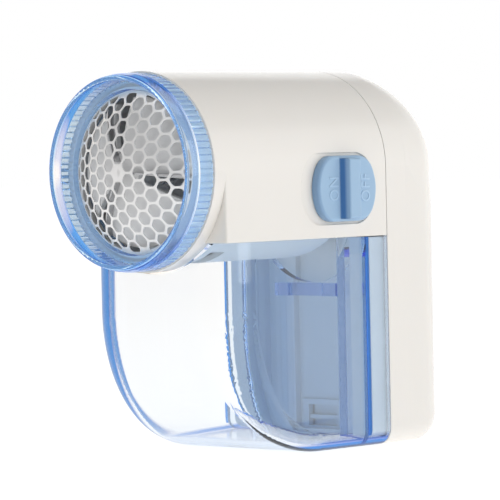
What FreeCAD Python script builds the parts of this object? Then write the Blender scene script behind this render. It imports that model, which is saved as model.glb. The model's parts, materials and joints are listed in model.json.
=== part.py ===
"""Battery-driven fabric shaver with a removable clear lint container.

Frame: +Z is up, -Y is the way the shaving head faces and +X is the side with the slide button.
The origin is on the ground, mid-width, in the parting plane between front housing and rear cover.
"Reach" is the distance from that parting plane towards the head, so a point's Y is minus its reach.
"""

import FreeCAD, Part
import math
import operator
import os

import Sketcher
from FreeCAD import Placement, Rotation, Vector

DIMENSIONS = [
    ("body_half", 33.4, "half width of the body and radius of its arched top"),
    ("axis_up", 95.5, "height of the head's axis above the ground"),
    ("split_up", 71.9, "height of the joint between head and lint container"),
    ("wall", 2.0, "wall of the housing and cover"),
    ("seam", 0.3, "gap in front of the rear cover's edge"),
    ("face_reach", 80.8, "flat front face of the housing and the lint container"),
    ("edge", 0.8, "rounding of the housing's front edge"),
    ("corner", 6.0, "rounding of the body's lower corners"),
    ("play", 0.3, "gap between neighbouring parts"),
    ("collar_reach", 85.6, "reach of the collar's front face"),
    ("collar_bore", 29.8, "bore of the collar"),
    ("handle_depth", 32.0, "parting plane to the back of the handle"),
    ("top_round", 22.0, "rounding of the handle's upper back"),
    ("base_round", 15.0, "rounding of the handle's lower back"),
    ("side_round", 13.0, "rounding of the handle's back along its sides"),
    ("bin_wall", 2.4, "wall of the lint container"),
    ("bin_round", 49.0, "large rounding under the front of the lint container"),
    ("bin_corner", 15.0, "rounding of the lint container's two front corners"),
    ("bin_back", 9.8, "reach of the container's back wall beside the columns"),
    ("bin_tongue", 1.0, "reach of the container's back wall between the columns"),
    ("tongue_half", 22.0, "half width of the container's back between the columns"),
    ("cutout", 25.5, "radius of the cut-out in the container's back wall"),
    ("cutout_up", 81.0, "height of that cut-out's centre"),
    ("tab_up", 51.0, "height of the catch tab's underside"),
    ("tab_tall", 4.4, "height of the catch tab"),
    ("tab_half", 14.0, "half width of the catch tab"),
    ("trough", 31.0, "outer radius of the motor cowl's trough"),
    ("cowl_wall", 1.8, "wall of the motor cowl"),
    ("guard_reach", 97.0, "reach of the spacing guard's front rim"),
    ("guard_rear", 33.0, "outer radius of the guard's rear edge"),
    ("guard_front", 32.0, "outer radius of the guard's front rim"),
    ("guard_wall", 1.8, "wall of the guard"),
    ("ring_reach", 90.0, "reach of the foil ring's front face"),
    ("ring_outer", 30.3, "outer radius over the foil ring's ribs"),
    ("rib_count", 78, "ribs round the foil ring"),
    ("rib_depth", 0.7, "depth of the grooves between the ribs"),
    ("foil_radius", 27.0, "radius of the foil at its rim"),
    ("foil_reach", 88.2, "reach of the foil's rim"),
    ("foil_rise", 8.6, "height of the foil's dome over its rim"),
    ("foil_thick", 0.3, "thickness of the foil"),
    ("hole_pitch", 5.0, "distance between neighbouring foil holes"),
    ("hole_across", 4.2, "foil hole across its flats"),
    ("cut_gap", 0.2, "gap between foil and blades"),
    ("blade_radius", 25.5, "radius swept by the blades"),
    ("blade_tall", 2.6, "height of a blade over its arm"),
    ("blade_thick", 0.5, "thickness of a blade"),
    ("petal_half", 51.0, "half the angle that a petal of the cutter spans"),
    ("blade_angle", 48.0, "angle from a petal's middle to its blade"),
    ("arm_thick", 2.0, "thickness of a cutter arm"),
    ("blade_count", 3, "blades on the cutter"),
    ("shaft", 1.0, "radius of the motor shaft"),
    ("motor_radius", 12.0, "radius of the motor can"),
    ("motor_flat", 9.4, "half height over the motor's flats"),
    ("motor_reach", 57.8, "reach of the motor can's front"),
    ("motor_rear", 26.0, "reach of the motor can's rear edge"),
    ("button_reach", 22.2, "reach of the button's centre when switched off"),
    ("button_up", 88.4, "height of the button's centre"),
    ("button_radius", 15.0, "radius of the button"),
    ("button_half", 11.1, "half height over the button's flats"),
    ("button_corner", 8.0, "rounding where the button's flats meet its circle"),
    ("button_proud", 2.0, "height of the button over the body"),
    ("bar_proud", 3.4, "height of the grip bar over the button"),
    ("travel", 5.5, "travel of the button"),
    ("cell_radius", 7.1, "radius of an AA cell"),
    ("cell_long", 49.3, "length of an AA cell without its nub"),
    ("cell_across", 8.0, "offset of each cell from mid-width"),
    ("cell_deep", 15.5, "distance of the cells behind the parting plane"),
    ("door_half", 21.0, "half width of the battery door"),
    ("door_top", 68.0, "height of the battery door's upper edge"),
    ("door_thick", 2.0, "thickness of the battery door"),
]

SHEET = "Dimensions"
SIGNS = {"+": operator.add, "-": operator.sub, "*": operator.mul, "/": operator.truediv}


class Dim:
    """A size together with the spreadsheet formula that gives it."""

    def __init__(self, value, formula):
        self.value = value
        self.formula = formula

    def __add__(self, other):
        return joined(self, "+", other)

    def __radd__(self, other):
        return joined(other, "+", self)

    def __sub__(self, other):
        return joined(self, "-", other)

    def __rsub__(self, other):
        return joined(other, "-", self)

    def __mul__(self, other):
        return joined(self, "*", other)

    def __rmul__(self, other):
        return joined(other, "*", self)

    def __truediv__(self, other):
        return joined(self, "/", other)

    def __neg__(self):
        return joined(0, "-", self)


def number(size):
    return size.value if isinstance(size, Dim) else size


def formula(size):
    return size.formula if isinstance(size, Dim) else repr(size)


def joined(left, sign, right):
    value = SIGNS[sign](number(left), number(right))
    return Dim(value, "({} {} {})".format(formula(left), sign, formula(right)))


def root(size):
    return Dim(math.sqrt(size.value), "sqrt({})".format(size.formula))


doc = FreeCAD.newDocument("fabric_shaver")
nodes = []


class Sizes:
    """The spreadsheet's cells as Dim values, one attribute for each alias."""

    def __init__(self, rows):
        sheet = doc.addObject("Spreadsheet::Sheet", SHEET)
        for row, (alias, value, meaning) in enumerate(rows, 1):
            sheet.set("A{}".format(row), meaning)
            sheet.set("B{}".format(row), str(value))
            sheet.setAlias("B{}".format(row), alias)
            setattr(self, alias, Dim(value, "{}.{}".format(SHEET, alias)))


d = Sizes(DIMENSIONS)
doc.recompute()


# ---------------------------------------------------------------- building blocks


def bind(thing, prop, size):
    """Sets a property, and ties it to the spreadsheet if the size comes from there."""
    if isinstance(size, Dim):
        thing.setExpression(prop, size.formula)
    else:
        thing.setExpression(prop, repr(float(size)))


def place(thing, x, y, z):
    for axis, size in zip("xyz", (x, y, z)):
        bind(thing, ".Placement.Base." + axis, size)


def about(middle, half):
    """The range that reaches the same way to both sides of a middle."""
    return (middle - half, middle + half)


def ordered(first, second):
    return tuple(sorted((first, second)))


def block(name, x, y, z):
    """A box between a low and a high value on each axis."""
    box = doc.addObject("Part::Box", name)
    for prop, (low, high) in (("Length", x), ("Width", y), ("Height", z)):
        bind(box, prop, high - low)
    place(box, x[0], y[0], z[0])
    return box


AXES = {
    "x": Rotation(Vector(0, 1, 0), 90),
    "y": Rotation(Vector(1, 0, 0), 90),
    "z": Rotation(),
}


def rod(name, radius, along, start, end, at):
    """A cylinder along x, y or z from start to end, with the other two places in at. Along y the ends are
    reaches."""
    cylinder = doc.addObject("Part::Cylinder", name)
    cylinder.Placement = Placement(Vector(), AXES[along])
    bind(cylinder, "Radius", radius)
    bind(cylinder, "Height", end - start)
    if along == "x":
        place(cylinder, start, at[0], at[1])
    elif along == "y":
        place(cylinder, at[0], 0 - start, at[1])
    else:
        place(cylinder, at[0], at[1], start)
    return cylinder


def fuse(name, *shapes):
    whole = doc.addObject("Part::MultiFuse", name)
    whole.Shapes = list(shapes)
    whole.Refine = True
    return whole


def cut(name, base, *tools):
    result = doc.addObject("Part::Cut", name)
    result.Base = base
    result.Tool = tools[0] if len(tools) == 1 else fuse(name + "_tools", *tools)
    result.Refine = True
    return result


def common(name, first, second):
    result = doc.addObject("Part::Common", name)
    result.Base = first
    result.Tool = second
    return result


def group(name, *shapes):
    """Identical pieces kept as separate solids of one node."""
    result = doc.addObject("Part::Compound", name)
    result.Links = list(shapes)
    return result


def node(name, thing):
    """Hands a finished sub-part in under its own name."""
    thing.Label = name
    nodes.append(thing)
    return thing


def shaped(name, shape, placement=None):
    """A free-form piece whose shape comes from code that reads the sheet's values."""
    feature = doc.addObject("Part::Feature", name)
    feature.Shape = shape
    if placement:
        feature.Placement = placement.multiply(shape.Placement)
    return feature


def origin_plane(body, role):
    return next(item for item in body.Origin.OriginFeatures if item.Role == role)


def sketch_on(body, role, shift=(0, 0, 0)):
    """A sketch on one of the body's own origin planes, shifted in the sketch's own directions."""
    sketch = body.newObject("Sketcher::SketchObject", body.Name + "_sketch")
    sketch.AttachmentSupport = [(origin_plane(body, role), "")]
    sketch.MapMode = "FlatFace"
    for axis, size in zip("xyz", shift):
        bind(sketch, ".AttachmentOffset.Base." + axis, size)
    return sketch


def hold(sketch, kind, piece, spot, size):
    index = sketch.addConstraint(Sketcher.Constraint(kind, -1, 1, piece, spot, float(number(size))))
    if isinstance(size, Dim):
        sketch.setExpression("Constraints[{}]".format(index), size.formula)


def draw(sketch, outline):
    """Closes an outline. A point is (across, up). A point with a centre, (across, up, (across, up)), is
    reached by the shorter arc round that centre."""
    ends = []
    for before, point in zip([outline[-1]] + outline[:-1], outline):
        start = Vector(number(before[0]), number(before[1]))
        stop = Vector(number(point[0]), number(point[1]))
        if len(point) == 2:
            ends.append((sketch.addGeometry(Part.LineSegment(start, stop)), 1, 2))
            continue
        centre = Vector(number(point[2][0]), number(point[2][1]))
        first = math.atan2(start.y - centre.y, start.x - centre.x)
        last = math.atan2(stop.y - centre.y, stop.x - centre.x)
        forward = (last - first) % (2 * math.pi) < math.pi
        if not forward:
            first, last = last, first
        circle = Part.Circle(centre, Vector(0, 0, 1), (start - centre).Length)
        piece = sketch.addGeometry(Part.ArcOfCircle(circle, first, last))
        ends.append((piece, 1, 2) if forward else (piece, 2, 1))
    for before, this, point in zip([ends[-1]] + ends[:-1], ends, outline):
        sketch.addConstraint(Sketcher.Constraint("Coincident", before[0], before[2], this[0], this[1]))
    for (piece, first, last), before, point in zip(ends, [outline[-1]] + outline[:-1], outline):
        hold(sketch, "DistanceX", piece, last, point[0])
        hold(sketch, "DistanceY", piece, last, point[1])
        if len(point) == 3:
            level = abs(number(point[0] - before[0])) >= abs(number(point[1] - before[1]))
            hold(sketch, "DistanceY" if level else "DistanceX", piece, 3, point[2][1 if level else 0])


def pad(name, role, outline, start, end):
    """A body with one outline pushed out from start to end along its plane's normal."""
    body = doc.addObject("PartDesign::Body", name)
    sketch = sketch_on(body, role, (0, 0, start))
    draw(sketch, outline)
    feature = body.newObject("PartDesign::Pad", name + "_pad")
    feature.Profile = sketch
    bind(feature, "Length", end - start)
    return body


def facing(name, outline, start, end):
    """An outline seen from the front (x, z), pushed out between two reaches."""
    return pad(name, "XZ_Plane", outline, start, end)


def turned(name, outline):
    """A piece turned about the head's axis. The outline's points are (reach, radius)."""
    body = doc.addObject("PartDesign::Body", name)
    sketch = sketch_on(body, "YZ_Plane", (0, d.axis_up, 0))
    flipped = []
    for point in outline:
        centre = [(0 - point[2][0], point[2][1])] if len(point) == 3 else []
        flipped.append((0 - point[0], point[1], *centre))
    draw(sketch, flipped)
    feature = body.newObject("PartDesign::Revolution", name + "_turn")
    feature.Profile = sketch
    feature.ReferenceAxis = (sketch, ["H_Axis"])
    feature.Angle = 360
    return body


def round_edges(body, radius, wanted):
    """Rounds the edges of a body's last feature that the test picks out."""
    doc.recompute()
    tip = body.Tip
    names = ["Edge{}".format(i) for i, edge in enumerate(tip.Shape.Edges, 1) if wanted(edge)]
    fillet = body.newObject("PartDesign::Fillet", body.Name + "_fillet")
    fillet.Base = (tip, names)
    bind(fillet, "Radius", radius)
    return body


def head_turn(angle):
    """A turn about the head's axis."""
    return Placement(Vector(), Rotation(Vector(0, 1, 0), angle), Vector(0, 0, d.axis_up.value))


def moved(shape, placement):
    copy = shape.copy()
    copy.Placement = placement.multiply(shape.Placement)
    return copy


def spin(thing, angle):
    """A copy turned about the head's axis."""
    doc.recompute()
    return shaped(thing.Name + "_turned", moved(thing.Shape, head_turn(angle)))


# ---------------------------------------------------------------- housing and covers


def arch(half, low, top_centre):
    """The body's outline from the front: straight sides under a half circle."""
    centre = (0, top_centre)
    return [
        (0 - half, low),
        (0 - half, top_centre),
        (0, top_centre + half, centre),
        (half, top_centre, centre),
        (half, low),
    ]


def arched_block(name, half, low, start, end, corner):
    body = facing(name, arch(half, low, d.axis_up), start, end)
    front = -number(end)

    def on_front(edge):
        level = all(abs(v.Z - number(low)) < 0.01 for v in edge.Vertexes)
        return not level and all(abs(v.Y - front) < 0.01 for v in edge.Vertexes)

    return round_edges(body, corner, on_front)


def button_outline(radius, half, reach, up):
    """A circle with two level flats, drawn in the plane of the housing's side."""
    middle = 0 - reach
    chord = root(radius * radius - half * half)
    centre = (middle, up)
    return [
        (middle - chord, up - half),
        (middle - radius, up, centre),
        (middle - chord, up + half, centre),
        (middle + chord, up + half),
        (middle + radius, up, centre),
        (middle + chord, up - half, centre),
    ]


def switch_recess():
    """The shallow bed in the housing's side that the button slides in."""
    gap = 1.0
    radius = d.button_radius + gap
    half = d.button_half + gap
    rear = button_outline(radius, half, d.button_reach, d.button_up)
    front = button_outline(radius, half, d.button_reach + d.travel, d.button_up)
    outline = [front[0], front[1], front[2], rear[3], rear[4], rear[5]]
    depth = 1.2
    bed = pad("switch_recess", "YZ_Plane", outline, d.body_half - depth, d.body_half + d.wall)

    def on_corner(edge):
        return abs(edge.Vertexes[0].X - edge.Vertexes[-1].X) > 1

    return round_edges(bed, d.button_corner + gap, on_corner)


SCREW_X = 20.0
SCREW_UP = 100.0
SCREW_HOLE = 1.5


def front_housing():
    outer = arched_block("housing_outer", d.body_half, d.split_up, d.seam, d.face_reach, d.edge)
    inside_reach = d.face_reach - d.wall
    collar = rod("housing_collar", d.body_half, "y", inside_reach, d.collar_reach, (0, d.axis_up))
    inner = arched_block("housing_inner", d.body_half - d.wall, d.split_up - 1, 0 - 1, inside_reach, d.edge)
    bore = rod("housing_bore", d.collar_bore, "y", 60.0, d.collar_reach + 1, (0, d.axis_up))
    slot_low = d.button_reach - 4
    slot_high = d.button_reach + d.travel + 4
    slot = block(
        "housing_slot",
        (d.body_half - d.wall - 1, d.body_half + 1),
        (0 - slot_high, 0 - slot_low),
        (d.button_up - 3, d.button_up + 3),
    )
    shell = cut("housing_shell", fuse("housing_solid", outer, collar), inner, bore)
    bosses = []
    holes = []
    for side, sign in (("left", -1), ("right", 1)):
        x = sign * SCREW_X
        bosses.append(rod("boss_" + side, 3.6, "y", d.seam, 14.0, (x, SCREW_UP)))
        wall_x = sign * (d.body_half.value - 1.0)
        bosses.append(block("rib_" + side, ordered(x, wall_x), (-12, 0 - d.seam), about(SCREW_UP, 0.8)))
        holes.append(rod("boss_hole_" + side, SCREW_HOLE, "y", -1, 12.5, (x, SCREW_UP)))
    return cut("front_housing", fuse("housing_bossed", shell, *bosses), switch_recess(), slot, *holes)


def cover_section(deep, inset):
    """One outline of the handle at a distance behind the parting plane: straight sides, rounded lower corners
    and an arched top that sinks as the back curves over."""

    def curve(radius):
        """How far a rounded back has drawn in at this depth."""
        radius = radius - inset
        past = max(0.0, deep - (d.handle_depth.value - inset - radius))
        return radius - math.sqrt(max(0.0, radius * radius - past * past))

    half = d.body_half.value - inset - curve(d.side_round.value)
    low = inset + curve(d.base_round.value)
    rise = d.body_half.value - inset - curve(d.top_round.value)
    up = d.axis_up.value
    if rise < 1.0:
        up = up + rise - 1.0
        rise = 1.0
    corner = max(1.0, d.corner.value - inset)
    low_left = Vector(-half + corner, deep, low)
    low_right = Vector(half - corner, deep, low)
    quarter = math.sqrt(0.5) * corner
    if rise >= half:
        ellipse = Part.Ellipse(Vector(0, deep, up + rise), Vector(half, deep, up), Vector(0, deep, up))
    else:
        ellipse = Part.Ellipse(Vector(half, deep, up), Vector(0, deep, up + rise), Vector(0, deep, up))
    right, left = Vector(half, deep, up), Vector(-half, deep, up)
    top = ellipse_arc(ellipse, left, right)
    pieces = [
        Part.makeLine(right, Vector(half, deep, low + corner)),
        Part.Arc(
            Vector(half, deep, low + corner),
            Vector(half - corner + quarter, deep, low + corner - quarter),
            low_right,
        ).toShape(),
        Part.makeLine(low_right, low_left),
        Part.Arc(
            low_left,
            Vector(-half + corner - quarter, deep, low + corner - quarter),
            Vector(-half, deep, low + corner),
        ).toShape(),
        Part.makeLine(Vector(-half, deep, low + corner), left),
        top,
    ]
    return Part.Wire(Part.__sortEdges__(pieces))


def ellipse_arc(ellipse, left, right):
    """The upper half of an ellipse between its two level ends."""
    first, last = ellipse.parameter(right), ellipse.parameter(left)
    arc = Part.ArcOfEllipse(ellipse, min(first, last), max(first, last))
    middle = arc.value((arc.FirstParameter + arc.LastParameter) / 2)
    if middle.z < left.z:
        arc = Part.ArcOfEllipse(ellipse, max(first, last), min(first, last) + 2 * math.pi)
    return arc.toShape()


def cover_solid(inset, front):
    """The handle's outside, or its inside when inset by the wall. The sections crowd towards the back."""
    depth = d.handle_depth.value - inset
    straight = d.handle_depth.value - d.top_round.value
    count = 18
    turns = [math.radians(89.0 * i / count) for i in range(count + 1)]
    deeps = [straight + (depth - straight) * math.sin(turn) for turn in turns]
    wires = [cover_section(deep, inset) for deep in [front] + deeps]
    base = Part.makeLoft(wires[:2], True, True)
    back = Part.makeLoft(wires[1:], True, False)
    return base.fuse(back).removeSplitter()


def rear_cover(outside):
    inside = shaped("cover_inside", cover_solid(d.wall.value, -1.0))
    shell = cut("cover_shell", outside, inside)
    back = d.handle_depth
    seat = back - d.door_thick
    frame = block("door_frame", (-25, 25), (seat - 2, seat + 0.05), (6.0, d.door_top + 4))
    door_space = block(
        "door_space",
        (0 - d.door_half - d.play, d.door_half + d.play),
        (seat, back + 1),
        (-1, d.door_top + d.play),
    )
    rails = block(
        "door_rails",
        (0 - d.door_half - 1.6, d.door_half + 1.6),
        (seat + 0.1, seat + 1.2),
        (-1, d.door_top),
    )
    opening = block("door_opening", (-18.0, 18.0), (seat - 3, seat + 1), (9.0, d.door_top - 3))
    bosses = []
    holes = []
    for side, x in (("left", -SCREW_X), ("right", SCREW_X)):
        bosses.append(rod("cover_boss_" + side, 4.4, "y", -31.0, 0.0, (x, SCREW_UP)))
        holes.append(rod("cover_hole_" + side, SCREW_HOLE, "y", -30.0, 1.0, (x, SCREW_UP)))
        holes.append(rod("cover_sink_" + side, 3.2, "y", -40.0, -8.0, (x, SCREW_UP)))
    inner = common("cover_fittings", outside, fuse("cover_extra", frame, *bosses))
    return cut("rear_cover", fuse("cover_bossed", shell, inner), door_space, rails, opening, *holes)


def battery_door(outside):
    seat = d.handle_depth - d.door_thick
    panel = block(
        "door_panel",
        (0 - d.door_half, d.door_half),
        (seat + 0.1, d.handle_depth + 1),
        (0, d.door_top),
    )
    tongues = block(
        "door_tongues",
        (0 - d.door_half - 1.3, d.door_half + 1.3),
        (seat + 0.25, seat + 1.05),
        (12.0, d.door_top - 2),
    )
    ridges = [
        rod("door_ridge_{}".format(i), 0.5, "x", -9.0, 9.0, (d.handle_depth + 0.2, 52.0 + 2.4 * i))
        for i in range(5)
    ]
    skin = common("door_skin", outside, fuse("door_blank", panel, tongues))
    return cut("battery_door", skin, *ridges)


def handle_frame():
    """The handle's front wall: two columns beside a middle panel, with the latch window near its foot."""
    side = d.body_half - d.bin_wall - 0.4
    column = d.tongue_half + 0.5
    panel = 11.0
    thick = 1.6
    front_y = 0 - (d.bin_back - 2)
    half = [
        (side, 3.0),
        (side, front_y),
        (column, front_y),
        (column, 1.0),
        (panel, 1.0),
        (panel, 3.4),
    ]
    back = [
        (panel + thick, 3.4 + thick),
        (panel + thick, 1.0 + thick),
        (column + thick, 1.0 + thick),
        (column + thick, front_y + thick),
        (side - thick, front_y + thick),
        (side - thick, 3.0),
    ]
    mirrored = [(0 - x, y) for x, y in half]
    mirrored_back = [(0 - x, y) for x, y in reversed(back)]
    outline = half + mirrored[::-1] + mirrored_back + back
    foot = d.bin_wall + 0.3
    walls = pad("frame_walls", "XY_Plane", outline, foot, d.split_up - 0.4)
    floor = block("frame_floor", (0 - side + 0.1, side - 0.1), (1.0, 3.0), (foot, foot + 1.6))
    lip = block("frame_lip", (-9.3, 9.3), (2.6, 3.5), (3.8, 14.5))
    rounded = rounded_foot("frame_envelope", side, foot, d.corner - d.bin_wall)
    whole = common("frame_rounded", fuse("frame_raw", walls, floor, lip), rounded)
    window = block("frame_window", (-6.6, 6.6), (0, 6), (5.2, 12.6))
    return cut("handle_frame", whole, window)


def rounded_foot(name, half, low, corner):
    """A tall block with rounded lower corners."""
    top = d.split_up + 1
    outline = [
        (0 - half, top),
        (0 - half, low + corner),
        (0 - half + corner, low, (0 - half + corner, low + corner)),
        (half - corner, low),
        (half, low + corner, (half - corner, low + corner)),
        (half, top),
    ]
    return facing(name, outline, -10.0, 20.0)


def container_latch():
    """The springy cross bar in the latch window."""
    bar = block("latch_bar", (-6.3, 6.3), (3.0, 4.6), (7.6, 9.0))
    leaf = block("latch_leaf", (-6.3, 6.3), (5.2, 6.0), (5.0, 16.0))
    bridge = block("latch_bridge", (-3, 3), (4.0, 5.6), (7.6, 9.0))
    return fuse("container_latch", bar, leaf, bridge)


def side_profile(inset, low, back_reach, top):
    """The lint container seen from the side, with its large front rounding."""
    round_ = d.bin_round - inset
    front = 0 - (d.face_reach - inset)
    centre = (front + round_, low + round_)
    return [
        (front, top),
        (front, low + round_),
        (front + round_, low, centre),
        (0 - back_reach, low),
        (0 - back_reach, top),
    ]


def bin_block(name, inset, low, back_reach, top, corner):
    """A block with the container's side profile. The rounding along its sides is large down the front corners
    and shrinks to corner under the floor."""
    half = d.body_half - inset
    body = pad(name, "YZ_Plane", side_profile(inset, low, back_reach, top), 0 - half, half)
    doc.recompute()
    front_corner = (d.bin_corner - inset).value
    floor_corner = corner.value
    floor_up = number(low)
    edges = []
    for index, edge in enumerate(body.Shape.Edges, 1):
        ends = [edge.valueAt(edge.FirstParameter), edge.valueAt(edge.LastParameter)]
        if any(abs(abs(end.x) - half.value) > 0.01 for end in ends):
            continue
        if abs(ends[0].z - ends[1].z) < 0.01 and ends[0].z > floor_up + 1:
            continue
        if all(abs(end.y + number(back_reach)) < 0.01 for end in ends):
            continue
        radii = [floor_corner if end.z < floor_up + 0.01 else front_corner for end in ends]
        edges.append((index, *radii))
    rounding = doc.addObject("Part::Fillet", name + "_rounded")
    rounding.Base = body
    rounding.Edges = edges
    return rounding


def lint_container():
    top = d.split_up - 0.2
    outer = bin_block("bin_outer", Dim(0.0, "0"), Dim(0.0, "0"), d.play * 2, top, d.corner)
    wall = d.bin_wall
    cavity = bin_block("bin_cavity", wall, wall, d.bin_back + wall, top + 1, d.corner - wall)
    middle = block(
        "bin_middle",
        (0 - (d.tongue_half - wall), d.tongue_half - wall),
        (0 - (d.bin_back + wall + 1), 0 - (d.bin_tongue + wall)),
        (wall, top + 1),
    )
    pockets = rounded_pockets(top)
    barrel = rod("bin_front_cut", d.body_half + 0.6, "y", 60.0, 90.0, (0, d.axis_up))
    arc = rod("bin_rear_cut", d.cutout, "y", -1.0, d.bin_back + 0.5, (0, d.cutout_up))
    shell = cut("bin_shell", outer, cavity, middle, barrel, arc, *pockets)
    wall_reach = d.bin_tongue + wall
    tab_z = (d.tab_up, d.tab_up + d.tab_tall)
    step = 7.8
    root_y = 0.5 - wall_reach
    end_y = (root_y - 3.9, root_y)
    bar = block("tab_bar", (0 - step, step), (root_y - 2.7, root_y), tab_z)
    ends = [
        block("tab_left", (0 - d.tab_half, 0 - step), end_y, tab_z),
        block("tab_right", (step, d.tab_half), end_y, tab_z),
    ]
    return fuse("lint_container", shell, bar, *ends)


def rounded_pockets(top):
    """The two spaces in the container's back that the handle's columns fill."""
    inner = d.body_half - d.bin_wall
    corner = d.corner - d.bin_wall
    pockets = []
    for side, sign in (("left", -1), ("right", 1)):
        near = sign * d.tongue_half
        far = sign * inner
        round_x = sign * (inner - corner)
        outline = [
            (near, top + 1),
            (near, d.bin_wall),
            (round_x, d.bin_wall),
            (far, d.bin_wall + corner, (round_x, d.bin_wall + corner)),
            (far, top + 1),
        ]
        pockets.append(facing("bin_pocket_" + side, outline, -1.0, d.bin_back))
    return pockets


def motor_cowl():
    """The floor of the head, with the round trough under chamber and motor and the chute for the lint."""
    reach_back = 6.0
    rear_round = 12.0
    rise = d.trough

    def barrel(name, radius, back, front):
        turn = rear_round - (rise - radius)
        return turned(
            name,
            [
                (front, 0),
                (front, radius),
                (back + turn, radius),
                (back, radius - turn, (back + turn, radius - turn)),
                (back, 0),
            ],
        )

    front = d.face_reach - d.bin_wall
    outer = barrel("cowl_outer", d.trough, reach_back, front)
    inner = barrel("cowl_inner", d.trough - d.cowl_wall, reach_back + d.cowl_wall, front + 1)
    floor_top = d.split_up + 1.8
    half = d.body_half - d.wall - 0.2
    lower = block("cowl_lower", (-40, 40), (-80, 0), (40, floor_top))
    floor = block("cowl_floor", (0 - half, half), (0 - front, -1.5), (d.split_up + 0.1, floor_top))
    trough = common("cowl_trough", outer, lower)
    chute = block("cowl_chute", (-15, 15), (-69, -62), (55, 75))
    return cut("motor_cowl", fuse("cowl_solid", trough, floor), inner, chute)


# ---------------------------------------------------------------- head


def spacing_guard():
    rear = d.collar_reach + 0.1
    lip = d.guard_reach - 2.7
    outline = [
        (rear, d.guard_rear),
        (lip, d.guard_rear - 0.3),
        (d.guard_reach - 0.5, d.guard_front, (lip - 0.4, d.guard_front - 1.8)),
        (d.guard_reach, d.guard_front - 0.9),
        (d.guard_reach - 0.3, d.guard_front - 1.7),
        (lip + 0.2, d.guard_front - 2.1),
        (lip - 2.6, d.guard_rear - d.guard_wall - 0.2),
        (rear, d.guard_rear - d.guard_wall),
    ]
    flat = [point[:2] for point in outline]
    return turned("spacing_guard", flat)


def foil_ring():
    """The knurled ring that holds the foil, with three bayonet lugs behind it."""
    back = d.collar_reach + 0.2
    neck = d.collar_bore - 0.5
    seat = d.foil_reach - 1.0
    ledge = d.foil_reach - 4.6
    body = turned(
        "ring_blank",
        [
            (back - 5, neck - 1.6),
            (back - 5, neck),
            (back, neck),
            (back, d.ring_outer - 0.2),
            (back + 0.3, d.ring_outer),
            (d.ring_reach - 0.4, d.ring_outer),
            (d.ring_reach, d.ring_outer - 0.4),
            (d.ring_reach, d.foil_radius + 0.5),
            (seat, d.foil_radius + 0.25),
            (seat, d.foil_radius + 1.4),
            (ledge, d.foil_radius + 1.4),
            (ledge, neck - 1.6),
        ],
    )
    groove = block(
        "ring_groove",
        (-0.35, 0.35),
        (0 - d.ring_reach - 1, 0 - (back + 0.9)),
        (d.axis_up + d.ring_outer - d.rib_depth, d.axis_up + d.ring_outer + 1),
    )
    doc.recompute()
    count = int(d.rib_count.value)
    turned_grooves = [moved(groove.Shape, head_turn(360.0 * i / count)) for i in range(count)]
    grooves = shaped("ring_grooves", Part.makeCompound(turned_grooves))
    lug = block(
        "ring_lug",
        (-3.5, 3.5),
        (0 - (back - 3.2), 0 - (back - 5)),
        (d.axis_up + neck - 0.6, d.axis_up + neck + 0.2),
    )
    doc.recompute()
    lugs = [moved(lug.Shape, head_turn(angle)) for angle in (0, 120, 240)]
    return fuse("foil_ring", cut("ring_knurled", body, grooves), shaped("ring_lugs", Part.makeCompound(lugs)))


def dome_radius():
    return (d.foil_radius * d.foil_radius + d.foil_rise * d.foil_rise) / (2 * d.foil_rise)


def dome_centre():
    return d.foil_reach + d.foil_rise - dome_radius()


def ball(name, radius):
    """A ball about the centre of the foil's dome."""
    sphere = doc.addObject("Part::Sphere", name)
    bind(sphere, "Radius", radius)
    place(sphere, 0, 0 - dome_centre(), d.axis_up)
    return sphere


def foil_holes():
    """Six-sided punches on a honeycomb, without one at the centre, cut off in a circle inside the rim."""
    pitch = d.hole_pitch.value
    reach = d.foil_radius.value - 0.8
    corner = d.hole_across.value / math.sqrt(3)
    front, back = -d.guard_reach.value - 2, -d.foil_reach.value - 0.2
    columns = int(2 * reach / pitch)
    punches = []
    for column in range(-columns, columns + 1):
        for row in range(-columns, columns + 1):
            x = column * pitch * math.sqrt(0.75)
            up = (row + 0.5 * (column % 2)) * pitch
            distance = math.hypot(x, up)
            if distance < 0.5 * pitch or distance - corner * 0.3 > reach:
                continue
            turns = [math.radians(60 * i) for i in range(7)]
            corners = [Vector(x + corner * math.cos(t), front, up + corner * math.sin(t)) for t in turns]
            punch = Part.Face(Part.makePolygon(corners)).extrude(Vector(0, back - front, 0))
            uprights = [edge for edge in punch.Edges if abs(edge.Length - (back - front)) < 0.01]
            punch = punch.makeFillet(0.45 * corner, uprights)
            punches.append(punch.translated(Vector(0, 0, d.axis_up.value)))
    limit = Part.makeCylinder(reach, back - front, Vector(0, front, d.axis_up.value), Vector(0, 1, 0))
    return Part.makeCompound([punch.common(limit) for punch in punches])


def foil():
    """The thin perforated dome with its short skirt."""
    radius = dome_radius()
    centre = dome_centre()
    inner = radius - d.foil_thick
    skirt = d.foil_reach - 3.0
    rim_inner = d.foil_radius - d.foil_thick
    inner_rim = centre + root(inner * inner - rim_inner * rim_inner)
    blank = turned(
        "foil_blank",
        [
            (skirt, rim_inner),
            (skirt, d.foil_radius),
            (d.foil_reach, d.foil_radius),
            (d.foil_reach + d.foil_rise, 0, (centre, 0)),
            (d.foil_reach + d.foil_rise - d.foil_thick, 0),
            (inner_rim, rim_inner, (centre, 0)),
        ],
    )
    return cut("foil", blank, shaped("foil_punches", foil_holes()))


def foil_frame():
    """The ring that the foil's skirt is bonded to."""
    front = d.foil_reach - 1.1
    return turned(
        "foil_frame",
        [
            (front - 3.2, d.foil_radius + 0.05),
            (front - 3.2, d.foil_radius + 1.3),
            (front, d.foil_radius + 1.3),
            (front, d.foil_radius + 0.05),
        ],
    )


def petal_middles():
    """The angles of the cutter's petals from straight up."""
    count = int(d.blade_count.value)
    return [45.0 + 360.0 * i / count for i in range(count)]


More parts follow.
